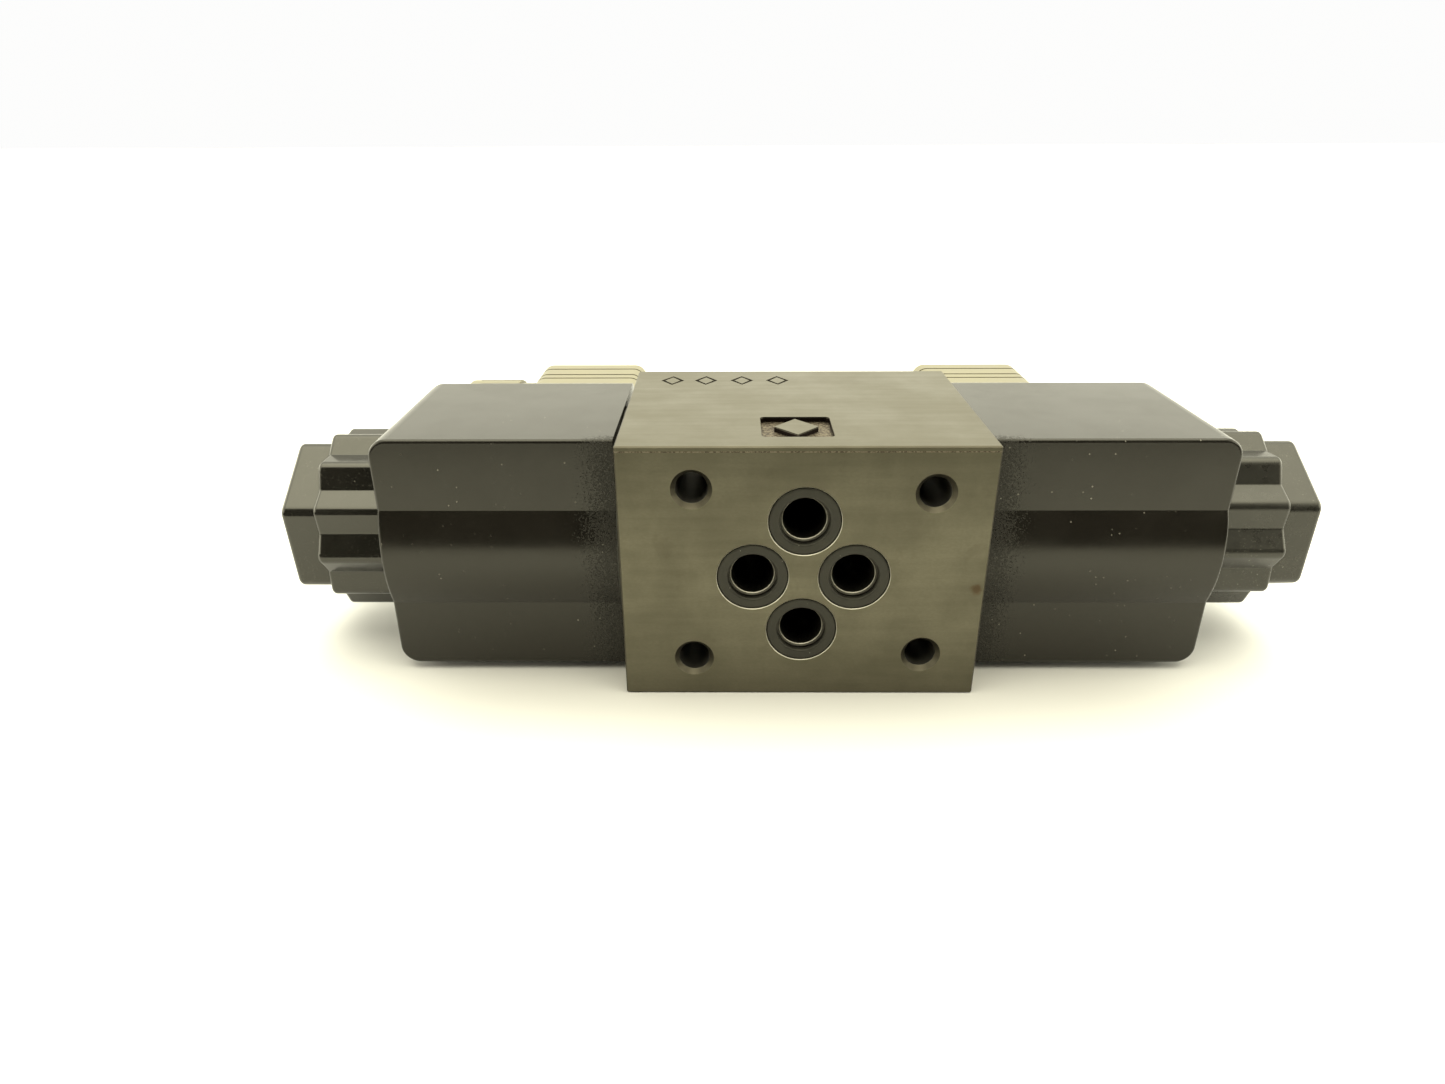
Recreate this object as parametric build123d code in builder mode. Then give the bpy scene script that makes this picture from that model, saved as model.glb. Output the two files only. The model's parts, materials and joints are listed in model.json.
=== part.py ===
"""Solenoid-operated hydraulic directional valve, size 6, double wet-armature solenoid, spring centred.

Frame: X runs along the spool, -Y is the outward normal of the mounting face, +Z is up with the valve
lying on its side. The origin is the centre of the port pattern on the mounting face. Millimetres.
Right-hand solenoid pieces are modelled on the +X side and mirrored for the left.
"""

import os

from build123d import *

os.makedirs("parts", exist_ok=True)

# Running and assembly clearances, radial
RUNNING_GAP = 0.02
LOOSE_GAP = 0.04

# Valve body: a machined block, mounting face at Y = 0
BODY_LENGTH = 63.0
BODY_DEPTH = 47.6
BODY_WIDTH = 47.5
BODY_EDGE = 0.25
BODY_END = BODY_LENGTH / 2
BODY_TOP = BODY_WIDTH / 2
AXIS_Y = 27.0

# Mounting pattern, as (X, Z) on the mounting face
BOLT_HOLE_R = 2.75
BOLT_MOUTH_R = 3.5
BOLT_POINTS = [(-19.0, -16.25), (-19.0, 16.25), (21.5, -15.5), (21.5, 15.5)]
PORT_R = 3.75
PORT_RIM = 0.35
RECESS_R = 6.2
RECESS_DEPTH = 1.3
RECESS_RIM = 0.12
PORT_P = (0, 10.4)
PORT_T = (0, -10.4)
PORT_A = (8.8, 0)
PORT_B = (-8.7, 0)
P_PORT_DEPTH = 24.0
WORK_PORT_DEPTH = 19.5

# Spool bore, its annular chambers and the tank gallery
SPOOL_R = 7.0
ANNULUS_R = 10.0
ANNULUS_WIDTH = 5.0
TANK_CHAMBER_START = 14.6
TANK_CHAMBER_R = 11.0
GALLERY_R = 2.75
GALLERY_Y = 15.0
GALLERY_Z = -9.4
RISER_X = 16.8
RISER_TOP = 24.0

# Mark pocket and punched marks on the upper side
POCKET_CENTRE = (-1.2, 10.35)
POCKET_SIZE = (12.2, 11.0)
POCKET_DEPTH = 0.9
LOZENGE = (7.6, 8.6)
PUNCH_X = (-24.1, -17.4, -10.2, -3.1)
PUNCH_Y = 40.3
PUNCH_SIZE = (4.6, 6.4)
PUNCH_LINE = 0.8
PUNCH_DEPTH = 0.3

# Name plate on the far face
PLATE_SIZE = (34.0, 17.0)
PLATE_X = 1.25
PLATE_THICKNESS = 0.5
RIVET_X = 14.6
RIVET_R = 1.0
RIVET_HEAD_R = 1.7

# Spool
STROKE = 3.0
LAND_CENTRE = 8.8
LAND_WIDTH = 5.8
SPOOL_STEM_R = 4.2
SEAT_START = 17.7
SEAT_END = 19.2
SEAT_R = 8.5
SPOOL_NOSE_R = 3.2
SPOOL_END = 20.0

# Solenoid tube, pole and end plug
SPIGOT_START = 23.0
SPIGOT_R = TANK_CHAMBER_R - LOOSE_GAP
FLANGE_END = 34.5
FLANGE_R = 13.4
TUBE_R = 9.5
TUBE_BORE_R = 8.0
TUBE_END = 90.0
SEAL_GROOVE_R = 12.95
SEAL_GROOVE_START = 29.2
POLE_START = 27.0
POLE_END = 50.0
PLUG_START = 79.4
PLUG_NOSE_R = 4.9
PLUG_NOSE_END = 93.6
PLUG_CAVITY_R = 4.6
PLUG_CAVITY_END = 84.3

# Armature and push pin
ARMATURE_R = 7.9
ARMATURE_START = 53.2
ARMATURE_END = 76.0
PIN_R = 1.5
PIN_START = 20.05
PIN_SOCKET_END = 57.0
OIL_SLOT = 1.6

# Manual override pin
OVERRIDE_HEAD_START = 82.3
OVERRIDE_HEAD_R = 4.5
OVERRIDE_R = 3.0
OVERRIDE_END = 94.0
OVERRIDE_RING_SPAN = (86.6, 88.2)

# Centring springs
WIRE_R = 0.65
SPRING_R = 6.9
SPRING_TURNS = 3.5

# Coil
COIL_START = 32.6
COIL_END = 74.9
COIL_HALF_WIDTH = 22.23
COIL_BULGE_R = 21.33
COIL_FRONT_Y = 7.75
COIL_REAR_Y = 46.5
COIL_CORNER = 3.4
COIL_REAR_EDGE = 3.0
COIL_EDGE = 0.6
COIL_BORE_R = 9.7
COIL_POCKET_R = 13.9
COIL_POCKET_END = 34.9
YOKE_END = 73.3
YOKE_WASHER = 1.3
YOKE_R = 20.5
YOKE_INNER_R = 19.0
BOBBIN_TUBE_R = 10.8
BOBBIN_FLANGE = 1.5
WINDING_R = 18.4
SEAL_R = 21.6

# Coil nut
NUT_START = 75.0
COLLAR_END = 76.0
COLLAR_R = 16.6
RING_END = 88.2
NUT_END = 95.0
LOBES = 12
CREST_R = 17.7
FLUTE_R = 15.5
CREST_ROUND = 1.8
FLUTE_ROUND = 0.5
HEX_FLAT_R = 13.6
HEX_ROUND = 2.2
NUT_EDGE = 1.0
NUT_THREAD_R = TUBE_R + LOOSE_GAP
NUT_HOLE_R = 5.2
NUT_SEAL_R = 12.2
NUT_SEAL_END = 77.0
NUT_TURNS = {"left": -4.5, "right": -1.0}

# Connector: terminal base on the coil, gasket, plug
PLUG_X = 47.3
PLUG_WIDTH = 26.6
PLUG_DEPTH = 28.0
PLUG_ROUND = 3.0
BASE_TOP = 57.5
GASKET_TOP = 59.0
CAP_TOP = 94.0
CAP_WALL = 2.2
CAP_FLOOR = 91.5
GROOVE_Y = (78.9, 82.2, 87.5)
GROOVE_WIDTH = 0.7
GROOVE_DEPTH = 0.6
BLADE_SIZE = (6.3, 0.8)
BLADE_START = 50.0
BLADE_END = 68.0
LINE_BLADE_Z = 8.5
EARTH_BLADE_X = 7.5
INSERT_SIZE = (20.0, 22.0)
INSERT_TOP = 74.0
SCREW_R = 1.5
SCREW_START = 50.5
SCREW_HEAD_R = 2.8
SCREW_HEAD_START = 92.0
PILLAR_R = 3.4

# Cable gland, pointing along -X from each plug
GLAND_Y = 80.3
GLAND_BOSS_R = 12.0
GLAND_BOSS_LENGTH = 3.6
GLAND_BORE_R = 8.2
GLAND_NUT_R = 12.75
GLAND_NUT_LENGTH = 12.5
GLAND_HOLE_R = 4.6
GLAND_WALL = 2.0
WASHER_THICKNESS = 1.0
GROMMET_LENGTH = 11.0
CABLE_R = 4.0
GLAND_RIBS = 24

spool_axis = Axis((0, AXIS_Y, 0), (1, 0, 0))
mounting_face = Plane.XZ
upper_side = Plane.XY.offset(BODY_TOP)
RIGHT_PLUG = (PLUG_X, 0)
plug_left_x = PLUG_X - PLUG_WIDTH / 2
gland_boss_end = plug_left_x - GLAND_BOSS_LENGTH
gland_nut_end = gland_boss_end - GLAND_NUT_LENGTH


def station(x):
    """A sketch plane square to the spool axis, with its first direction along +Y and its second along +Z."""
    return Plane(origin=(x, AXIS_Y, 0), x_dir=(0, 1, 0), z_dir=(1, 0, 0))


def level(y):
    """A sketch plane parallel to the mounting face at height y, looking along +Y: first X, second -Z."""
    return Plane(origin=(0, y, 0), x_dir=(1, 0, 0), z_dir=(0, 1, 0))


def turned(start, end, radius, bore=0.0, mode=Mode.ADD):
    """A length of round bar or tube on the spool axis."""
    with BuildSketch(station(start)) as ring:
        Circle(radius)
        if bore:
            Circle(bore, mode=Mode.SUBTRACT)
    extrude(ring.sketch, amount=end - start, mode=mode)


def gland_turned(start, end, radius, bore=0.0, mode=Mode.ADD):
    """A length of round bar or tube on the gland axis of the right-hand plug."""
    with BuildSketch(Plane(origin=(start, GLAND_Y, 0), x_dir=(0, 1, 0), z_dir=(1, 0, 0))) as ring:
        Circle(radius)
        if bore:
            Circle(bore, mode=Mode.SUBTRACT)
    extrude(ring.sketch, amount=end - start, mode=mode)


def block(bottom, top, size, corner=0.0, centre=RIGHT_PLUG, mode=Mode.ADD):
    """A block standing on the level at height bottom, centred on (X, Z), with its upright edges rounded."""
    with BuildSketch(level(bottom)) as outline:
        with Locations(centre):
            if corner:
                RectangleRounded(size[0], size[1], corner)
            else:
                Rectangle(size[0], size[1])
    extrude(outline.sketch, amount=top - bottom, mode=mode)


def post(bottom, top, radius, centre=RIGHT_PLUG, mode=Mode.ADD):
    """A round post or hole along Y, centred on (X, Z)."""
    with BuildSketch(level(bottom)) as disc:
        with Locations(centre):
            Circle(radius)
    extrude(disc.sketch, amount=top - bottom, mode=mode)


def lozenge(width, height, mode=Mode.ADD):
    """A diamond at each place that the sketch has set."""
    corners = [(width / 2, 0), (0, height / 2), (-width / 2, 0), (0, -height / 2)]
    Polygon(*corners, align=None, mode=mode)


def write(builder, name):
    builder.part.label = name
    export_step(builder.part, f"parts/{name}.step")


def write_pair(right, name):
    """Write a right-hand piece and its mirror image as two nodes."""
    with BuildPart() as left:
        mirror(right.part, about=Plane.YZ)
    write(left, f"{name}_left")
    write(right, f"{name}_right")


def write_both(right, name):
    """Write a right-hand piece and its mirror image as one node of two solids."""
    with BuildPart() as both:
        add(right.part)
        mirror(right.part, about=Plane.YZ)
    write(both, name)


def write_plug_pair(right, name):
    """Write a piece of each plug as two nodes: both glands point along -X, so the left is a shifted copy."""
    with BuildPart() as left:
        add(right.part.moved(Location((-2 * PLUG_X, 0, 0))))
    write(left, f"{name}_left")
    write(right, f"{name}_right")


def write_plug_both(right, name):
    """Write a plug piece for both plugs as one node of separate solids."""
    with BuildPart() as both:
        add(right.part)
        add(right.part.moved(Location((-2 * PLUG_X, 0, 0))))
    write(both, name)


# --- Valve body -------------------------------------------------------------------------------

with BuildPart() as valve_body:
    Box(BODY_LENGTH, BODY_DEPTH, BODY_WIDTH, align=(Align.CENTER, Align.MIN, Align.CENTER))
    chamfer(valve_body.edges(), BODY_EDGE)

    # Through holes for the four mounting bolts, with a coned mouth at each end
    with Locations(mounting_face):
        with Locations(*BOLT_POINTS):
            CounterSinkHole(BOLT_HOLE_R, BOLT_MOUTH_R)
    with Locations(level(BODY_DEPTH)):
        with Locations(*[(x, -z) for x, z in BOLT_POINTS]):
            CounterSinkHole(BOLT_HOLE_R, BOLT_MOUTH_R, depth=BODY_DEPTH / 2)

    # Ports, each in a flat-bottomed seal recess
    with Locations(mounting_face):
        with Locations(PORT_A, PORT_B):
            CounterBoreHole(PORT_R, RECESS_R, RECESS_DEPTH, depth=WORK_PORT_DEPTH)
        with Locations(PORT_P):
            CounterBoreHole(PORT_R, RECESS_R, RECESS_DEPTH, depth=P_PORT_DEPTH)
        with Locations(PORT_T):
            CounterBoreHole(PORT_R, RECESS_R, RECESS_DEPTH, depth=GALLERY_Y)
    rims = valve_body.edges().filter_by(GeomType.CIRCLE).filter_by_position(
        Axis.Y, RECESS_DEPTH - 0.01, RECESS_DEPTH + 0.01
    )
    chamfer([rim for rim in rims if rim.radius < PORT_R + 0.1], PORT_RIM)
    mouths = valve_body.edges().filter_by(GeomType.CIRCLE).filter_by_position(Axis.Y, -0.01, 0.01)
    chamfer([mouth for mouth in mouths if mouth.radius > RECESS_R - 0.1], RECESS_RIM)

    # Spool bore, the P, A and B annuli, and the tank chamber at each end
    turned(-BODY_END, BODY_END, SPOOL_R, mode=Mode.SUBTRACT)
    for x in (PORT_P[0], PORT_A[0], PORT_B[0]):
        turned(x - ANNULUS_WIDTH / 2, x + ANNULUS_WIDTH / 2, ANNULUS_R, mode=Mode.SUBTRACT)
    for side in (-1, 1):
        turned(side * TANK_CHAMBER_START, side * BODY_END, TANK_CHAMBER_R, mode=Mode.SUBTRACT)
        turned(side * SEAL_GROOVE_START, side * BODY_END, SEAL_GROOVE_R, mode=Mode.SUBTRACT)
        post(GALLERY_Y, RISER_TOP, GALLERY_R, centre=(side * RISER_X, -GALLERY_Z), mode=Mode.SUBTRACT)
    with BuildSketch(Plane(origin=(-RISER_X, GALLERY_Y, GALLERY_Z), z_dir=(1, 0, 0))) as gallery:
        Circle(GALLERY_R)
    extrude(gallery.sketch, amount=2 * RISER_X, mode=Mode.SUBTRACT)

    # Sunk pocket with a raised lozenge, and a row of punched lozenge outlines, on the upper side
    with BuildSketch(upper_side) as pocket:
        with Locations(POCKET_CENTRE):
            RectangleRounded(*POCKET_SIZE, 0.8)
            lozenge(*LOZENGE, Mode.SUBTRACT)
    extrude(pocket.sketch, amount=-POCKET_DEPTH, mode=Mode.SUBTRACT)
    with BuildSketch(upper_side) as punches:
        with Locations(*[(x, PUNCH_Y) for x in PUNCH_X]):
            lozenge(*PUNCH_SIZE)
            lozenge(*[side - 2 * PUNCH_LINE for side in PUNCH_SIZE], Mode.SUBTRACT)
    extrude(punches.sketch, amount=-PUNCH_DEPTH, mode=Mode.SUBTRACT)
write(valve_body, "valve_body")

# Seals that stand in the port recesses, pressed almost flush
SEAL_SPAN = (0.05, RECESS_DEPTH - 0.03)
SEAL_INNER_R = 4.25
SEAL_OUTER_R = RECESS_R - 0.06
with BuildPart() as port_o_rings:
    for x, z in (PORT_P, PORT_T, PORT_A, PORT_B):
        with BuildSketch(Plane(origin=(x, 0, z), x_dir=(1, 0, 0), z_dir=(0, 0, 1))) as section:
            with Locations(((SEAL_INNER_R + SEAL_OUTER_R) / 2, sum(SEAL_SPAN) / 2)):
                RectangleRounded(SEAL_OUTER_R - SEAL_INNER_R, SEAL_SPAN[1] - SEAL_SPAN[0], 0.4)
        revolve(section.sketch, axis=Axis((x, 0, z), (0, 1, 0)))
write(port_o_rings, "port_o_rings")

with BuildPart() as name_plate:
    block(BODY_DEPTH, BODY_DEPTH + PLATE_THICKNESS, PLATE_SIZE, corner=1.5, centre=(PLATE_X, 0))
    for side in (-1, 1):
        post(BODY_DEPTH, BODY_DEPTH + 1, RIVET_R + LOOSE_GAP, (PLATE_X + side * RIVET_X, 0), Mode.SUBTRACT)
write(name_plate, "name_plate")

with BuildPart() as name_plate_rivets:
    for side in (-1, 1):
        centre = (PLATE_X + side * RIVET_X, 0)
        post(BODY_DEPTH, BODY_DEPTH + PLATE_THICKNESS, RIVET_R, centre)
        post(BODY_DEPTH + PLATE_THICKNESS, BODY_DEPTH + 1.2, RIVET_HEAD_R, centre)
    fillet(name_plate_rivets.edges().group_by(Axis.Y)[-1], 0.5)
write(name_plate_rivets, "name_plate_rivets")

# --- Spool and centring springs ----------------------------------------------------------------

with BuildPart() as spool:
    turned(-SEAT_START, SEAT_START, SPOOL_STEM_R)
    for side in (-1, 1):
        middle = side * LAND_CENTRE
        turned(middle - LAND_WIDTH / 2, middle + LAND_WIDTH / 2, SPOOL_R - RUNNING_GAP)
        turned(side * SEAT_START, side * SPOOL_END, SPOOL_NOSE_R)
write(spool, "spool")

with BuildPart() as spring_seats:
    for side in (-1, 1):
        turned(side * SEAT_START, side * SEAT_END, SEAT_R, SPOOL_NOSE_R + LOOSE_GAP)
write(spring_seats, "spring_seats")

SPRING_START = SEAT_END + WIRE_R + LOOSE_GAP
SPRING_END = POLE_START - WIRE_R - LOOSE_GAP
with BuildPart() as centring_spring:
    with BuildLine() as coils:
        Helix(
            pitch=(SPRING_END - SPRING_START) / SPRING_TURNS,
            height=SPRING_END - SPRING_START,
            radius=SPRING_R,
            center=(SPRING_START, AXIS_Y, 0),
            direction=(1, 0, 0),
        )
    with BuildSketch(Plane(origin=coils.line @ 0, z_dir=coils.line % 0)):
        Circle(WIRE_R)
    sweep(path=coils.line, is_frenet=True)
write_pair(centring_spring, "centring_spring")

# --- Solenoid tube and what runs in it ---------------------------------------------------------

with BuildPart() as solenoid_tube:
    turned(SPIGOT_START, BODY_END, SPIGOT_R, TUBE_BORE_R)
    turned(BODY_END, FLANGE_END, FLANGE_R, TUBE_BORE_R)
    turned(FLANGE_END, TUBE_END, TUBE_R, TUBE_BORE_R)
write_pair(solenoid_tube, "solenoid_tube")

with BuildPart() as tube_o_ring:
    turned(SEAL_GROOVE_START + 0.05, BODY_END - 0.05, SEAL_GROOVE_R - 0.05, SPIGOT_R + 0.05)
    fillet(tube_o_ring.edges(), 0.5)
write_both(tube_o_ring, "tube_o_rings")

with BuildPart() as pole_piece:
    turned(POLE_START, POLE_END, TUBE_BORE_R - LOOSE_GAP, PIN_R + 0.1)
write_pair(pole_piece, "pole_piece")

with BuildPart() as end_plug:
    turned(PLUG_START, TUBE_END, TUBE_BORE_R - LOOSE_GAP, OVERRIDE_R + LOOSE_GAP)
    turned(TUBE_END, PLUG_NOSE_END, PLUG_NOSE_R, OVERRIDE_R + LOOSE_GAP)
    turned(PLUG_START, PLUG_CAVITY_END, PLUG_CAVITY_R, mode=Mode.SUBTRACT)
    turned(*OVERRIDE_RING_SPAN, PLUG_CAVITY_R, mode=Mode.SUBTRACT)
write_pair(end_plug, "tube_end_plug")

with BuildPart() as armature:
    turned(ARMATURE_START, ARMATURE_END, ARMATURE_R)
    turned(ARMATURE_START, PIN_SOCKET_END, PIN_R + RUNNING_GAP, mode=Mode.SUBTRACT)
    # Two oil slots along the length
    for side in (-1, 1):
        with BuildSketch(station(ARMATURE_START)) as slot:
            with Locations((0, side * ARMATURE_R)):
                Rectangle(OIL_SLOT, 2 * OIL_SLOT)
        extrude(slot.sketch, amount=ARMATURE_END - ARMATURE_START, mode=Mode.SUBTRACT)
write_pair(armature, "armature")

with BuildPart() as push_pin:
    turned(PIN_START, PIN_SOCKET_END, PIN_R)
write_pair(push_pin, "push_pin")

with BuildPart() as override_pin:
    turned(OVERRIDE_HEAD_START, PLUG_CAVITY_END - 0.03, OVERRIDE_HEAD_R)
    turned(PLUG_CAVITY_END - 0.03, OVERRIDE_END, OVERRIDE_R)
    fillet(override_pin.edges().group_by(Axis.X)[-1], 0.4)
write_pair(override_pin, "override_pin")

with BuildPart() as override_o_ring:
    start, end = OVERRIDE_RING_SPAN
    turned(start + 0.05, end - 0.05, PLUG_CAVITY_R - 0.05, OVERRIDE_R + 0.06)
    fillet(override_o_ring.edges(), 0.4)
write_both(override_o_ring, "override_o_rings")

# --- Coil --------------------------------------------------------------------------------------

blade_places = [
    (PLUG_X, LINE_BLADE_Z, BLADE_SIZE),
    (PLUG_X, -LINE_BLADE_Z, BLADE_SIZE),
    (PLUG_X + EARTH_BLADE_X, 0, BLADE_SIZE[::-1]),
]


def blades(bottom, top, gap, mode=Mode.ADD):
    """The three contact blades, or the slots that clear them by a gap all round."""
    for x, z, size in blade_places:
        block(bottom, top, (size[0] + 2 * gap, size[1] + 2 * gap), centre=(x, z), mode=mode)


with BuildPart() as coil_housing:
    # Moulded section: a block wrapped round the winding, which bulges past the flat front
    with BuildSketch(station(COIL_START)) as section:
        Circle(COIL_BULGE_R)
        with Locations(((COIL_FRONT_Y + COIL_REAR_Y) / 2 - AXIS_Y, 0)):
            Rectangle(COIL_REAR_Y - COIL_FRONT_Y, 2 * COIL_HALF_WIDTH)
    extrude(section.sketch, amount=COIL_END - COIL_START)
    end_face = coil_housing.faces().sort_by(Axis.X)[-1]
    corners = [
        edge
        for edge in end_face.edges().filter_by(Axis.Y)
        if abs(edge.center().Z) > COIL_HALF_WIDTH - 0.1
    ]
    fillet(corners, COIL_CORNER)
    rear_edges = [
        edge
        for edge in coil_housing.edges().filter_by(Axis.X)
        if edge.center().Y > AXIS_Y and abs(edge.center().Z) > COIL_HALF_WIDTH - 0.1
    ]
    fillet(rear_edges, COIL_REAR_EDGE)
    fillet(coil_housing.faces().sort_by(Axis.X)[-1].edges(), COIL_EDGE)
    # Terminal base
    block(COIL_REAR_Y - 4, BASE_TOP, (PLUG_WIDTH, PLUG_DEPTH), corner=PLUG_ROUND)
    # Pocket for the winding, bore for the tube, counterbore for the tube flange
    turned(COIL_START, COIL_END, COIL_BORE_R, mode=Mode.SUBTRACT)
    turned(COIL_START, COIL_POCKET_END, COIL_POCKET_R, mode=Mode.SUBTRACT)
    turned(COIL_POCKET_END, YOKE_END, YOKE_R + LOOSE_GAP, mode=Mode.SUBTRACT)
    blades(BLADE_START, BASE_TOP, LOOSE_GAP, Mode.SUBTRACT)
    post(BLADE_START, BASE_TOP, SCREW_R + LOOSE_GAP, mode=Mode.SUBTRACT)
write_pair(coil_housing, "coil_housing")

with BuildPart() as coil_yoke:
    turned(COIL_POCKET_END + 0.02, YOKE_END - 0.02, YOKE_R, YOKE_INNER_R)
    for edge in (COIL_POCKET_END + 0.02, YOKE_END - 0.02 - YOKE_WASHER):
        turned(edge, edge + YOKE_WASHER, YOKE_R, COIL_BORE_R)
write_pair(coil_yoke, "coil_yoke")

bobbin_start = COIL_POCKET_END + YOKE_WASHER + 0.05
bobbin_end = YOKE_END - YOKE_WASHER - 0.05
with BuildPart() as coil_bobbin:
    turned(bobbin_start, bobbin_end, BOBBIN_TUBE_R, COIL_BORE_R)
    turned(bobbin_start, bobbin_start + BOBBIN_FLANGE, YOKE_INNER_R - LOOSE_GAP, COIL_BORE_R)
    turned(bobbin_end - BOBBIN_FLANGE, bobbin_end, YOKE_INNER_R - LOOSE_GAP, COIL_BORE_R)
write_pair(coil_bobbin, "coil_bobbin")

with BuildPart() as coil_winding:
    start = bobbin_start + BOBBIN_FLANGE + LOOSE_GAP
    turned(start, bobbin_end - BOBBIN_FLANGE - LOOSE_GAP, WINDING_R, BOBBIN_TUBE_R + LOOSE_GAP)
write_pair(coil_winding, "coil_winding")

with BuildPart() as coil_seal:
    turned(BODY_END, COIL_START, SEAL_R, FLANGE_R + 0.3)
    rims = coil_seal.edges().filter_by(GeomType.CIRCLE)
    fillet([rim for rim in rims if rim.radius > SEAL_R - 0.1], 0.3)
write_both(coil_seal, "coil_seals")

with BuildPart() as coil_terminals:
    blades(BLADE_START + 0.1, BLADE_END, 0)
write_pair(coil_terminals, "coil_terminals")

# --- Coil nuts ---------------------------------------------------------------------------------

with BuildPart() as nut_seal:
    turned(NUT_START + 0.02, NUT_SEAL_END - 0.05, NUT_SEAL_R - 0.05, TUBE_R + 0.05)
    fillet(nut_seal.edges(), 0.6)
write_both(nut_seal, "nut_seals")


def coil_nut(turn):
    """The lobed and hexagonal nut of the right-hand solenoid, turned about the spool axis in degrees."""
    with BuildPart() as nut:
        turned(NUT_START, COLLAR_END, COLLAR_R)
        # Grip ring: rounded crests and narrow flutes
        half_pitch = 180 / LOBES
        with BuildSketch(station(COLLAR_END)) as ring:
            with BuildLine():
                spokes = [
                    Vector(CREST_R if k % 2 == 0 else FLUTE_R, 0).rotate(Axis.Z, turn + k * half_pitch)
                    for k in range(2 * LOBES)
                ]
                Polyline(*spokes, close=True)
            make_face()
            tips = ring.vertices()
            fillet([tip for tip in tips if Vector(tip.X, tip.Y).length > CREST_R - 0.1], CREST_ROUND)
            tips = ring.vertices()
            fillet([tip for tip in tips if Vector(tip.X, tip.Y).length < FLUTE_R + 0.1], FLUTE_ROUND)
        extrude(ring.sketch, amount=RING_END - COLLAR_END)
        fillet(nut.faces().sort_by(Axis.X)[-1].edges(), NUT_EDGE * 0.8)
        # Hexagonal head
        with BuildSketch(station(RING_END - 2)) as head:
            RegularPolygon(HEX_FLAT_R, 6, major_radius=False, rotation=turn + 30)
            fillet(head.vertices(), HEX_ROUND)
        extrude(head.sketch, amount=NUT_END - RING_END + 2)
        fillet(nut.faces().sort_by(Axis.X)[-1].edges(), NUT_EDGE)
        turned(NUT_START, TUBE_END + 0.1, NUT_THREAD_R, mode=Mode.SUBTRACT)
        turned(NUT_START, NUT_SEAL_END, NUT_SEAL_R, mode=Mode.SUBTRACT)
        turned(TUBE_END, NUT_END, NUT_HOLE_R, mode=Mode.SUBTRACT)
    return nut


coil_nut_right = coil_nut(-NUT_TURNS["right"])
write(coil_nut_right, "coil_nut_right")
with BuildPart() as coil_nut_left:
    mirror(coil_nut(-NUT_TURNS["left"]).part, about=Plane.YZ)
write(coil_nut_left, "coil_nut_left")

# --- Connector plugs ---------------------------------------------------------------------------

plug_size = (PLUG_WIDTH, PLUG_DEPTH)

with BuildPart() as plug_gasket:
    block(BASE_TOP, GASKET_TOP, (PLUG_WIDTH - 1, PLUG_DEPTH - 1), corner=PLUG_ROUND - 0.5)
    blades(BASE_TOP, GASKET_TOP, 0.6, Mode.SUBTRACT)
    post(BASE_TOP, GASKET_TOP, SCREW_R + 0.4, mode=Mode.SUBTRACT)
write_both(plug_gasket, "plug_gaskets")

with BuildPart() as plug_housing:
    block(GASKET_TOP, CAP_TOP, plug_size, corner=PLUG_ROUND)
    fillet(plug_housing.faces().sort_by(Axis.Y)[-1].edges(), PLUG_ROUND - 0.2)
    gland_turned(gland_boss_end, PLUG_X, GLAND_BOSS_R)
    # Grip grooves round all four sides
    for y in GROOVE_Y:
        inner = (PLUG_WIDTH - 2 * GROOVE_DEPTH, PLUG_DEPTH - 2 * GROOVE_DEPTH)
        with BuildSketch(level(y - GROOVE_WIDTH / 2)) as band:
            with Locations(RIGHT_PLUG):
                Rectangle(PLUG_WIDTH + 1, PLUG_DEPTH + 1)
                RectangleRounded(*inner, PLUG_ROUND - GROOVE_DEPTH, mode=Mode.SUBTRACT)
        extrude(band.sketch, amount=GROOVE_WIDTH, mode=Mode.SUBTRACT)
    # Wiring space, screw pillar, screw recess and cable bore
    inside = (PLUG_WIDTH - 2 * CAP_WALL, PLUG_DEPTH - 2 * CAP_WALL)
    block(GASKET_TOP, CAP_FLOOR, inside, corner=1.5, mode=Mode.SUBTRACT)
    gland_turned(gland_boss_end, PLUG_X - PILLAR_R, GLAND_BORE_R, mode=Mode.SUBTRACT)
    post(INSERT_TOP + 0.1, CAP_FLOOR, PILLAR_R)
    post(INSERT_TOP, CAP_TOP, SCREW_R + 0.15, mode=Mode.SUBTRACT)
    post(SCREW_HEAD_START, CAP_TOP, SCREW_HEAD_R + 0.4, mode=Mode.SUBTRACT)
write_plug_pair(plug_housing, "plug_housing")

with BuildPart() as plug_insert:
    block(GASKET_TOP + 0.05, INSERT_TOP, INSERT_SIZE, corner=1.0)
    blades(GASKET_TOP, BLADE_END + 0.2, LOOSE_GAP, Mode.SUBTRACT)
    post(GASKET_TOP, INSERT_TOP, SCREW_R + 0.15, mode=Mode.SUBTRACT)
write_pair(plug_insert, "plug_insert")

with BuildPart() as plug_screw:
    post(SCREW_START, SCREW_HEAD_START, SCREW_R)
    post(SCREW_HEAD_START, CAP_TOP - 0.2, SCREW_HEAD_R)
    block(CAP_TOP - 1.2, CAP_TOP, (2 * SCREW_HEAD_R, 0.8), mode=Mode.SUBTRACT)
write_plug_both(plug_screw, "plug_screws")

# --- Cable glands ------------------------------------------------------------------------------

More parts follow.
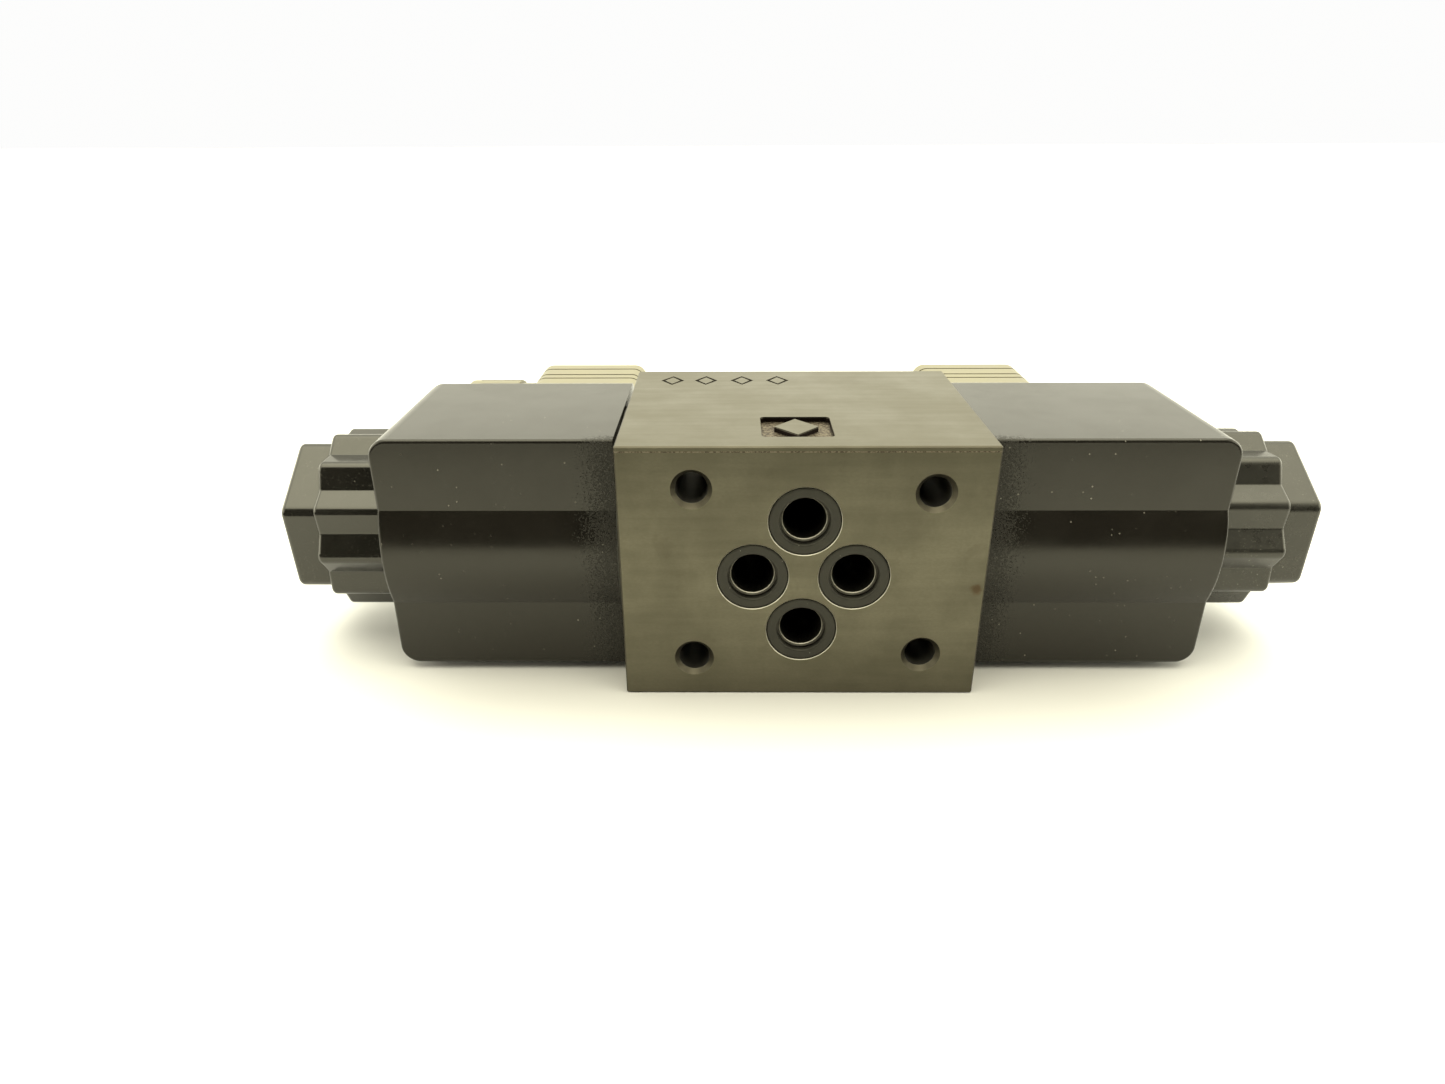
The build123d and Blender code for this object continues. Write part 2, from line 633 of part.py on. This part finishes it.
with BuildPart() as gland_nut:
    gland_turned(gland_nut_end, gland_boss_end, GLAND_NUT_R)
    fillet(gland_nut.edges().group_by(Axis.X)[0], 1.0)
    with BuildSketch(Plane(origin=(gland_nut_end + 2.5, GLAND_Y, 0), x_dir=(0, 1, 0), z_dir=(1, 0, 0))) as ribs:
        with PolarLocations(GLAND_NUT_R, GLAND_RIBS, start_angle=180 / GLAND_RIBS):
            Circle(0.45)
    extrude(ribs.sketch, amount=GLAND_NUT_LENGTH, mode=Mode.SUBTRACT)
    gland_turned(gland_nut_end, gland_boss_end, GLAND_HOLE_R, mode=Mode.SUBTRACT)
    gland_turned(gland_nut_end + GLAND_WALL, gland_boss_end, GLAND_BORE_R, mode=Mode.SUBTRACT)
write_plug_both(gland_nut, "gland_nuts")

washer_start = gland_nut_end + GLAND_WALL + LOOSE_GAP
grommet_start = washer_start + WASHER_THICKNESS + LOOSE_GAP
with BuildPart() as gland_washer:
    gland_turned(washer_start, washer_start + WASHER_THICKNESS, GLAND_BORE_R - LOOSE_GAP, GLAND_HOLE_R)
write_plug_both(gland_washer, "gland_washers")

with BuildPart() as gland_grommet:
    gland_turned(grommet_start, grommet_start + GROMMET_LENGTH, GLAND_BORE_R - 0.06, CABLE_R)
write_plug_both(gland_grommet, "gland_grommets")
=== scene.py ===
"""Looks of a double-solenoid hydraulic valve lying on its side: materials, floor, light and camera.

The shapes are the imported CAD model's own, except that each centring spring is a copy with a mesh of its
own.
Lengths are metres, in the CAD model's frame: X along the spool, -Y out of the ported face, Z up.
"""

import json
import math

import bpy
from mathutils import Matrix, Vector


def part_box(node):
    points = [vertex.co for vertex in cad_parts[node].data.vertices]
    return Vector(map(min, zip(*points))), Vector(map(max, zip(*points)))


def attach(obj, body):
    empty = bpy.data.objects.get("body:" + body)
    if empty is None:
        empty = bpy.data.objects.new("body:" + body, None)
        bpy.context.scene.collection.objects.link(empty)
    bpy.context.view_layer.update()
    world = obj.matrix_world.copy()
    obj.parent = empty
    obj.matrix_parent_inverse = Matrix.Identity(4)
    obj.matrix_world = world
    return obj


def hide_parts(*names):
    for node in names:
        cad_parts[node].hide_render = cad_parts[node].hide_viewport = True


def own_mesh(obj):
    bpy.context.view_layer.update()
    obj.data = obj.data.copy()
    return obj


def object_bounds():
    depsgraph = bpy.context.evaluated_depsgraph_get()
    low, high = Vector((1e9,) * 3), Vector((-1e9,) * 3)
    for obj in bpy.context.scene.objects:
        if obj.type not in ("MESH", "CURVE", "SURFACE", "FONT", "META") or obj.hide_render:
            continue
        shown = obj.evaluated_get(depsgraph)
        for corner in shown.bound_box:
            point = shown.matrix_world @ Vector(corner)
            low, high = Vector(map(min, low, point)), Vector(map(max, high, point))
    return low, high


MM = 0.001

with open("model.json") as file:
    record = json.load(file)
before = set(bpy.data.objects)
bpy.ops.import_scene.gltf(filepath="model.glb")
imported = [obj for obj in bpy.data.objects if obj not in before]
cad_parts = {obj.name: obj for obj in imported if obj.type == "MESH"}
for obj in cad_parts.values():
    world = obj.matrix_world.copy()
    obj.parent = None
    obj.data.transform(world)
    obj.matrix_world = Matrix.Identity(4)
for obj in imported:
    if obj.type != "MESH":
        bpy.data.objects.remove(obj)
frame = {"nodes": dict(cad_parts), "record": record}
cad_box = [list(corner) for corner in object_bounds()]
body_low, body_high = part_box("valve_body")
coil_low, coil_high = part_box("coil_housing_right")

# Colour of the daylight lamps: everything they light is slightly warm
WARM = (1.0, 0.975, 0.79)

# Tint of the reflections in the black mouldings and the rubber
WARM_SHEEN = (1.0, 0.97, 0.84, 1)

# Ports in the mounting face, as (X, Z) in mm, and a small rust spot on it
PORT_POINTS = [(0, 10.4), (0, -10.4), (8.8, 0), (-8.7, 0)]
RUST_AT = (30 * MM, 0, -2.4 * MM)

# How far a port's seal recess and the painted highlight on its lip reach from its middle, and how deep the
# cast pocket is
RECESS_REACH = 6.5 * MM
LIP_HIGHLIGHT_REACH = 4.5 * MM
POCKET_DEPTH = 0.84 * MM


# --- Short calls for building node trees -------------------------------------------------------


class Nodes:
    """A node tree, with one short call for each kind of node used here."""

    def __init__(self, tree):
        self.tree = tree

    def add(self, kind, inputs, **settings):
        made = self.tree.nodes.new(kind)
        for name, value in settings.items():
            setattr(made, name, value)
        for name, value in inputs.items():
            self.feed(made.inputs[name], value)
        return made

    def feed(self, socket, value):
        """Link value into a socket when it comes from a node, or set it there."""
        if isinstance(value, bpy.types.NodeSocket):
            self.tree.links.new(value, socket)
        else:
            socket.default_value = value

    def math(self, operation, first, second=0.0):
        return self.add("ShaderNodeMath", {0: first, 1: second}, operation=operation).outputs[0]

    def product(self, *factors):
        result = factors[0]
        for factor in factors[1:]:
            result = self.math("MULTIPLY", result, factor)
        return result

    def vector(self, operation, first, second=(0, 0, 0)):
        made = self.add("ShaderNodeVectorMath", {0: first, 1: second}, operation=operation)
        return made.outputs["Value" if operation in ("DISTANCE", "DOT_PRODUCT") else "Vector"]

    def split(self, vector):
        return self.add("ShaderNodeSeparateXYZ", {"Vector": vector}).outputs

    def band(self, value, start, end, low=0.0, high=1.0):
        """low below start, high above end, and a smooth step between them."""
        inputs = {"Value": value, "From Min": start, "From Max": end, "To Min": low, "To Max": high}
        return self.add("ShaderNodeMapRange", inputs, interpolation_type="SMOOTHSTEP").outputs[0]

    def between(self, value, start, end, soft):
        """1 from start to end, fading to 0 within soft outside them."""
        return self.product(self.band(value, start - soft, start), self.band(value, end + soft, end))

    def mix(self, share, first, second):
        """A colour between first and second."""
        first, second = [c if isinstance(c, bpy.types.NodeSocket) else (*c, 1) for c in (first, second)]
        return self.add("ShaderNodeMix", {0: share, 6: first, 7: second}, data_type="RGBA").outputs[2]

    def noise(self, size, detail=2.0, roughness=0.5, grain=(1, 1, 1)):
        """Noise from 0 to 1 whose features are about size across, drawn out along X, Y, Z by grain."""
        stretched = self.vector("DIVIDE", self.place, grain)
        inputs = {"Vector": stretched, "Scale": 1 / size, "Detail": detail, "Roughness": roughness}
        return self.add("ShaderNodeTexNoise", inputs).outputs[0]

    def specks(self, spacing, radius, share):
        """1 inside round specks on a random scatter; share of the cells have one."""
        cells = self.add("ShaderNodeTexVoronoi", {"Vector": self.place, "Scale": 1 / spacing})
        inside = self.band(cells.outputs["Distance"], radius / spacing, 0.6 * radius / spacing)
        chosen = self.band(self.split(cells.outputs["Color"])[0], 1 - share, 1 - share + 0.01)
        return self.product(inside, chosen)


class Finish(Nodes):
    """A material around one Principled shader, with its texture place in the model's own frame."""

    def __init__(self, name, **uniform):
        self.material = bpy.data.materials.new(name)
        self.material.use_nodes = True
        super().__init__(self.material.node_tree)
        self.shader = self.tree.nodes["Principled BSDF"]
        self.place = self.add("ShaderNodeTexCoord", {}).outputs["Object"]
        self.normal = None
        for name, value in uniform.items():
            self.set(name.replace("_", " ").capitalize(), value)

    def set(self, socket, value):
        self.feed(self.shader.inputs[socket], value)

    def bump(self, height, depth, strength=1.0):
        """Raise the surface by depth where height is 1. Each call adds to the last."""
        inputs = {"Height": height, "Distance": depth, "Strength": strength}
        if self.normal is not None:
            inputs["Normal"] = self.normal
        self.normal = self.add("ShaderNodeBump", inputs).outputs["Normal"]
        self.set("Normal", self.normal)

    def crevices(self, reach):
        """1 in the open, falling to 0 in grooves and corners narrower than reach; used to paint shade into
        them.
        """
        return self.add("ShaderNodeAmbientOcclusion", {"Distance": reach}, samples=8).outputs["AO"]


# --- Materials ---------------------------------------------------------------------------------


def machined_iron():
    """Ground, lightly oiled iron: cloudy olive grey, with dark bores, marks and cast pocket, painted shade
    in the ports and the pocket's corners, and painted highlights on the port rims and the upper side.
    """
    iron = Finish("machined_iron", metallic=1.0)
    centre = (body_low + body_high) / 2
    half = (body_high - body_low) / 2
    away = iron.vector("ABSOLUTE", iron.vector("SUBTRACT", iron.place, centre))
    depth_x, depth_y, depth_z = iron.split(iron.vector("SUBTRACT", half, away))
    depth = iron.math("MINIMUM", depth_x, iron.math("MINIMUM", depth_y, depth_z))

    # Where on the block: near a port of the mounting face, or in the marks of the upper side
    across, _, up = iron.split(iron.place)
    square_on = iron.add("ShaderNodeCombineXYZ", {"X": across, "Y": 0.0, "Z": up}).outputs[0]
    from_port = 1.0
    for port_x, port_z in PORT_POINTS:
        distance = iron.vector("DISTANCE", square_on, (port_x * MM, 0, port_z * MM))
        from_port = iron.math("MINIMUM", from_port, distance)
    at_port = iron.band(from_port, RECESS_REACH + 0.1 * MM, RECESS_REACH)
    on_top = iron.band(up, body_high.z - 1.1 * MM, body_high.z - 1.0 * MM)
    shallow = iron.band(depth, 0.12 * MM, 0.25 * MM)
    marked = iron.product(shallow, iron.math("MAXIMUM", at_port, on_top))
    inside = iron.math("MAXIMUM", marked, iron.band(depth, 0.75 * MM, 1.0 * MM))

    clouds = iron.noise(14 * MM, detail=5, roughness=0.6)
    streaks = iron.noise(1.6 * MM, detail=3, grain=(14, 1, 1))
    grind = iron.noise(0.5 * MM, detail=2, grain=(30, 1, 1))
    stain = iron.band(iron.noise(9 * MM, detail=4, roughness=0.65), 0.58, 0.7)
    grain = iron.noise(0.35 * MM, detail=3, grain=(2, 1, 1))

    skin = iron.mix(iron.band(clouds, 0.35, 0.65), (0.099, 0.091, 0.062), (0.116, 0.107, 0.074))
    skin = iron.mix(iron.band(streaks, 0.3, 0.75, 0.0, 0.2), skin, (0.155, 0.143, 0.102))
    skin = iron.mix(iron.band(grain, 0.35, 0.65, 0.0, 0.22), skin, (0.09, 0.082, 0.056))
    skin = iron.mix(iron.product(stain, 0.35), skin, (0.085, 0.075, 0.051))
    # The upper side is painted brighter than the mounting face, a painted reflection of the bright light
    # above it, and the outer edges are dull
    painted_top_reflection = iron.band(up, body_high.z - 0.30 * MM, body_high.z - 0.10 * MM)
    skin = iron.mix(iron.product(painted_top_reflection, 0.35), skin, (0.235, 0.219, 0.17))
    edge = iron.product(iron.band(depth, 0.004 * MM, 0.02 * MM), iron.band(at_port, 1, 0))
    skin = iron.mix(iron.product(edge, 0.6), skin, (0.04, 0.034, 0.026))
    # A ragged rust spot
    rust_edge = iron.product(iron.noise(1.2 * MM, detail=4), 1.6 * MM)
    rust_reach = iron.math("ADD", iron.vector("DISTANCE", iron.place, RUST_AT), rust_edge)
    rust = iron.band(rust_reach, 2.2 * MM, 1.2 * MM)
    skin = iron.mix(iron.product(rust, 0.5), skin, (0.10, 0.055, 0.026))

    # Bores: bare metal at the bolt holes, and painted shade darkening the ports and their seal recesses
    bore_metal_and_port_shade = iron.mix(at_port, (0.17, 0.16, 0.135), (0.06, 0.056, 0.046))
    skin = iron.mix(inside, skin, bore_metal_and_port_shade)
    # Upper side: dark punched lines and a sandy cast pocket, with painted shade in the pocket's corners
    pocket = iron.product(iron.band(depth_z, POCKET_DEPTH, POCKET_DEPTH + 0.04 * MM), on_top)
    speckle = iron.band(iron.noise(0.45 * MM, detail=4, roughness=0.7), 0.44, 0.56)
    # Painted shade in the pocket's corners and around its raised mark
    out_of_crevice_shade = iron.band(iron.crevices(1.2 * MM), 0.35, 0.8)
    cast = iron.mix(speckle, (0.06, 0.045, 0.034), (0.20, 0.17, 0.12))
    cast = iron.mix(out_of_crevice_shade, (0.02, 0.014, 0.012), cast)
    skin = iron.mix(iron.product(shallow, on_top), skin, (0.022, 0.016, 0.013))
    skin = iron.mix(pocket, skin, cast)
    # Painted highlights on the lip of each port and the mouth of its seal recess, where their chamfers catch
    # the light
    lip_highlight = iron.between(depth_y, 1.56 * MM, 1.66 * MM, 0.04 * MM)
    lip_highlight = iron.product(lip_highlight, iron.band(from_port, LIP_HIGHLIGHT_REACH + 0.1 * MM, LIP_HIGHLIGHT_REACH))
    chamfer_start = iron.band(depth_y, 0.01 * MM, 0.03 * MM)
    chamfer_end = iron.band(depth_y, 0.15 * MM, 0.12 * MM)
    mouth_highlight = iron.product(chamfer_start, chamfer_end, at_port)
    painted_rim_highlight = iron.math("MAXIMUM", lip_highlight, mouth_highlight)
    skin = iron.mix(painted_rim_highlight, skin, (0.42, 0.40, 0.33))
    iron.set("Base Color", skin)

    rough = iron.band(clouds, 0.3, 0.7, 0.46, 0.36)
    rough = iron.math("ADD", rough, iron.band(streaks, 0.3, 0.7, 0.02, -0.02))
    rough = iron.math("ADD", rough, iron.product(inside, 0.1))
    rough = iron.math("ADD", rough, iron.product(rust, 0.2))
    iron.set("Roughness", rough)
    iron.bump(grind, 2e-6)
    iron.bump(iron.product(marked, iron.noise(0.5 * MM, detail=4)), 60e-6)
    return iron.material


def black_moulding(name, base, rough, oily, shine):
    """Satin black moulding with dust, oily patches and, near the valve body, dark grime."""
    black = Finish(name)
    across, ahead, _ = black.split(black.place)
    smudge = black.noise(12 * MM, detail=4, roughness=0.6)

    dust_area = black.band(black.noise(16 * MM, detail=2), 0.45, 0.65, 0.15, 1.0)
    dust = black.product(black.specks(1.4 * MM, 0.16 * MM, 0.35), dust_area)
    fine_dust = black.band(black.noise(0.4 * MM, detail=4, roughness=0.8), 0.60, 0.66)
    dust = black.math("MAXIMUM", dust, black.product(fine_dust, dust_area, oily))

    near_body = black.band(black.math("ABSOLUTE", across), coil_low.x + 11 * MM, coil_low.x + 0.5 * MM)
    near_body = black.product(near_body, black.band(ahead, 12 * MM, 8.5 * MM))
    grime_noise = black.noise(0.35 * MM, detail=5, roughness=0.75)
    thickness = black.math("ADD", grime_noise, black.product(near_body, 0.24))
    grime = black.band(thickness, 0.68, 0.74)
    oil = black.product(black.band(black.noise(2.2 * MM, detail=4), 0.52, 0.58), oily)

    colour = black.mix(black.band(smudge, 0.3, 0.7), base, [1.25 * c for c in base])
    colour = black.mix(black.product(grime, 0.7), colour, (0.006, 0.005, 0.004))
    colour = black.mix(black.product(dust, 0.5), colour, (0.36, 0.34, 0.28))
    black.set("Base Color", colour)
    black.set("Specular Tint", WARM_SHEEN)
    black.set("Specular IOR Level", shine)

    roughness = black.band(smudge, 0.3, 0.7, rough, rough + 0.07)
    roughness = black.math("ADD", roughness, black.product(grime, 0.3))
    roughness = black.math("SUBTRACT", roughness, black.product(oil, 0.6 * rough))
    # The nut past the end of the right-hand coil is drier than the rest
    dry = black.band(across, coil_high.x + 0.1 * MM, coil_high.x + 0.5 * MM, 0.0, 0.13)
    black.set("Roughness", black.math("ADD", roughness, dry))
    black.bump(black.noise(1.1 * MM, detail=3), 2e-6)
    black.bump(grime, 25e-6)
    return black.material


def ivory_plastic():
    """Aged ivory plastic, darkened to grey in its grooves and corners as painted shade."""
    ivory = Finish("ivory_plastic")
    cloud = ivory.noise(9 * MM, detail=3)
    out_of_crevice_shade = ivory.band(ivory.crevices(1.2 * MM), 0.25, 0.85)
    colour = ivory.mix(ivory.band(cloud, 0.3, 0.7), (0.195, 0.176, 0.112), (0.225, 0.206, 0.134))
    # Painted shade: grey in grooves and corners
    colour = ivory.mix(out_of_crevice_shade, (0.11, 0.10, 0.06), colour)
    colour = ivory.mix(ivory.specks(1.5 * MM, 0.12 * MM, 0.12), colour, (0.15, 0.12, 0.07))
    ivory.set("Base Color", colour)
    ivory.set("Specular IOR Level", 0.4)
    ivory.set("Roughness", ivory.band(cloud, 0.3, 0.7, 0.38, 0.5))
    ivory.bump(ivory.noise(0.8 * MM, detail=3), 4e-6)
    return ivory.material


def seal_rubber():
    """Dull black rubber with a grey bloom and a little dust."""
    rubber = Finish("seal_rubber")
    bloom = rubber.noise(2.5 * MM, detail=4)
    colour = rubber.mix(rubber.band(bloom, 0.35, 0.7), (0.009, 0.0085, 0.006), (0.018, 0.017, 0.012))
    colour = rubber.mix(rubber.specks(0.9 * MM, 0.08 * MM, 0.15), colour, (0.25, 0.24, 0.2))
    rubber.set("Base Color", colour)
    rubber.set("Specular Tint", WARM_SHEEN)
    rubber.set("Specular IOR Level", 0.4)
    rubber.set("Roughness", rubber.band(bloom, 0.3, 0.7, 0.42, 0.6))
    rubber.bump(rubber.noise(0.4 * MM, detail=3), 6e-6)
    return rubber.material


def metal(name, dark, light, rough, grain):
    """Bare or plated metal whose working marks run along the longest direction of grain."""
    bare = Finish(name, metallic=1.0)
    marks = bare.noise(0.5 * MM, detail=3, grain=grain)
    cloud = bare.noise(6 * MM, detail=3)
    bare.set("Base Color", bare.mix(bare.band(cloud, 0.3, 0.7), dark, light))
    bare.set("Roughness", bare.band(marks, 0.3, 0.7, rough, rough + 0.15))
    bare.bump(marks, 2e-6)
    return bare.material


def plain_plastic(name, dark, light, rough):
    """Moulded plastic of a hidden part."""
    plastic = Finish(name)
    cloud = plastic.noise(5 * MM, detail=3)
    plastic.set("Base Color", plastic.mix(plastic.band(cloud, 0.3, 0.7), dark, light))
    plastic.set("Roughness", plastic.band(cloud, 0.3, 0.7, rough, rough + 0.1))
    plastic.bump(plastic.noise(0.6 * MM, detail=2), 3e-6)
    return plastic.material


ROUND_X = (1, 12, 12)
LONG_X = (20, 1, 1)

slot_materials = {
    "machined_iron": machined_iron(),
    "coil_moulding": black_moulding("coil_moulding", (0.0065, 0.0056, 0.0042), 0.2, oily=0.0, shine=0.44),
    "nut_moulding": black_moulding("nut_moulding", (0.008, 0.0075, 0.006), 0.15, oily=0.5, shine=0.6),
    "plug_plastic": ivory_plastic(),
    "seal_rubber": seal_rubber(),
    "plate_aluminium": metal("plate_aluminium", (0.62, 0.61, 0.58), (0.74, 0.73, 0.70), 0.3, LONG_X),
    "bright_steel": metal("bright_steel", (0.46, 0.45, 0.42), (0.6, 0.59, 0.55), 0.2, ROUND_X),
    "spring_steel": metal("spring_steel", (0.25, 0.25, 0.24), (0.4, 0.39, 0.37), 0.25, ROUND_X),
    "plated_steel": metal("plated_steel", (0.5, 0.48, 0.38), (0.62, 0.6, 0.5), 0.28, ROUND_X),
    "soft_iron": metal("soft_iron", (0.26, 0.25, 0.23), (0.36, 0.35, 0.33), 0.35, ROUND_X),
    "copper_wire": metal("copper_wire", (0.5, 0.2, 0.09), (0.65, 0.3, 0.14), 0.3, ROUND_X),
    "contact_brass": metal("contact_brass", (0.6, 0.5, 0.26), (0.72, 0.62, 0.35), 0.25, LONG_X),
    "bobbin_plastic": plain_plastic("bobbin_plastic", (0.55, 0.52, 0.44), (0.65, 0.62, 0.54), 0.4),
    "insert_plastic": plain_plastic("insert_plastic", (0.02, 0.02, 0.02), (0.035, 0.035, 0.035), 0.4),
}
for part in frame["record"]["subparts"]:
    piece = frame["nodes"][part["node"]]
    for place in piece.material_slots:
        place.material = slot_materials[part["material_slot"]]


# --- Centring springs (on the valve they shorten as the spool moves), each a copy with its own mesh - ---

for side in ("left", "right"):
    packed = frame["nodes"][f"centring_spring_{side}"]
    spring = bpy.data.objects.new(f"coiled_spring_{side}", packed.data.copy())
    bpy.context.scene.collection.objects.link(spring)
    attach(spring, "valve")
    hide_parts(packed.name)
    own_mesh(spring)


# --- Floor, light and camera -------------------------------------------------------------------

FLOOR_HALF = 3.0

# Where the dark sheet standing for the unlit room's shade stands ahead of the valve, how far it reaches to
# each side, and its top
SHADE_SHEET_Y = -135 * MM
SHADE_SHEET_HALF = 600 * MM
SHADE_SHEET_TOP = 75 * MM

# Strength of the tent's wall, rear wall and lamp; TENT_SIDE and TENT_DARK multiply the wall's
TENT_WALL = 1.5
TENT_REAR = 1.85
TENT_SIDE = 2.6
TENT_LAMP = 5.0
TENT_DARK = 0.03


def sheet_mesh(name, corners, material):
    """A flat rectangle through four corners, as part of the stage."""
    mesh = bpy.data.meshes.new(name)
    mesh.from_pydata(corners, [], [(0, 1, 2, 3)])
    mesh.materials.append(material)
    made = bpy.data.objects.new(name, mesh)
    bpy.context.scene.collection.objects.link(made)
    return made


def floor_sheet():
    """White paper, with a painted shadow that makes it darker and yellower just in front of the valve."""
    paper = Finish("floor_paper", roughness=0.7)
    centre = (Vector(cad_box[0]) + Vector(cad_box[1])) / 2
    half = (Vector(cad_box[1]) - Vector(cad_box[0])) / 2
    away = paper.vector("ABSOLUTE", paper.vector("SUBTRACT", paper.place, centre))
    beyond = paper.vector("MAXIMUM", paper.vector("SUBTRACT", away, half))
    distance = paper.vector("DISTANCE", beyond)
    across, ahead, _ = paper.split(paper.place)
    out_from_middle = paper.math("ABSOLUTE", across)
    # Painted shadow: darker, yellower paper close in front of the valve, weaker past the coil ends
    beside = paper.band(out_from_middle, coil_high.x - 25 * MM, coil_high.x + 20 * MM, 1.0, 0.4)
    painted_shadow = paper.product(paper.band(distance, 45 * MM, -10 * MM), paper.band(ahead, 30 * MM, 5 * MM), beside)
    paper.set("Base Color", paper.mix(painted_shadow, (0.76, 0.76, 0.75), (0.49, 0.478, 0.455)))
    return paper.material


floor_z = cad_box[0][2]
sheet_mesh(
    "floor",
    [(FLOOR_HALF * x, FLOOR_HALF * y, floor_z) for x, y in ((-1, -1), (1, -1), (1, 1), (-1, 1))],
    floor_sheet(),
)

# The unlit room behind the camera, a dark sheet of shade which only shows as the dark part of reflections
room_shade_sheet = Finish("room_shade_sheet", roughness=0.9)
room_shade_sheet.set("Base Color", (0.02, 0.02, 0.02, 1))
dark_room = sheet_mesh(
    "dark_room",
    [
        (-SHADE_SHEET_HALF, SHADE_SHEET_Y, floor_z),
        (SHADE_SHEET_HALF, SHADE_SHEET_Y, floor_z),
        (SHADE_SHEET_HALF, SHADE_SHEET_Y, SHADE_SHEET_TOP),
        (-SHADE_SHEET_HALF, SHADE_SHEET_Y, SHADE_SHEET_TOP),
    ],
    room_shade_sheet.material,
)
dark_room.visible_camera = False
dark_room.visible_diffuse = False
dark_room.visible_shadow = False


def white_tent(world):
    """A white tent lit from overhead, with a dark opening ahead of the valve.

    Seen directly it is plain white.
    """
    world.use_nodes = True
    sky = Nodes(world.node_tree)
    towards = sky.add("ShaderNodeTexCoord", {}).outputs["Generated"]
    across, ahead, up = sky.split(towards)
    sideways = sky.math("DIVIDE", across, sky.math("MINIMUM", ahead, -0.01))
    in_front = sky.product(sky.band(ahead, -0.1, -0.2), sky.band(up, 0.86, 0.76))
    opening = sky.product(in_front, sky.band(sideways, -1.0, -0.8), sky.band(sideways, 1.1, 0.9))
    end_wall = sky.band(sky.math("ABSOLUTE", across), 0.6, 0.9, 1.0, TENT_SIDE)
    bore_metal_and_port_shade = sky.product(sky.band(ahead, 0.1, 0.5, TENT_WALL, TENT_REAR), end_wall)
    strength = sky.band(up, 0.7, 0.92, bore_metal_and_port_shade, TENT_LAMP)
    strength = sky.product(strength, sky.band(opening, 0, 1, 1.0, TENT_DARK))
    lit = sky.vector("MULTIPLY", WARM, strength)
    seen = sky.add("ShaderNodeLightPath", {}).outputs["Is Camera Ray"]
    background = world.node_tree.nodes["Background"]
    sky.feed(background.inputs["Color"], sky.mix(seen, lit, (0.98, 0.98, 0.975)))


scene = bpy.context.scene
scene.world = bpy.data.worlds.new("tent")
white_tent(scene.world)
scene.view_settings.view_transform = "Standard"

CAMERA_AT = (-12.51 * MM, -140.63 * MM, 72.53 * MM)
CAMERA_DOWN = math.radians(25.07)
CAMERA_YAW = math.radians(0.55)
CAMERA_ROLL = math.radians(-0.25)
lens = bpy.data.cameras.new("camera")
lens.sensor_width = 36
lens.lens = 22.87
lens.clip_start = 1 * MM
camera = bpy.data.objects.new("camera", lens)
camera.matrix_world = (
    Matrix.Translation(CAMERA_AT)
    @ Matrix.Rotation(CAMERA_YAW, 4, "Z")
    @ Matrix.Rotation(math.pi / 2 - CAMERA_DOWN, 4, "X")
    @ Matrix.Rotation(CAMERA_ROLL, 4, "Z")
)
scene.collection.objects.link(camera)
scene.camera = camera
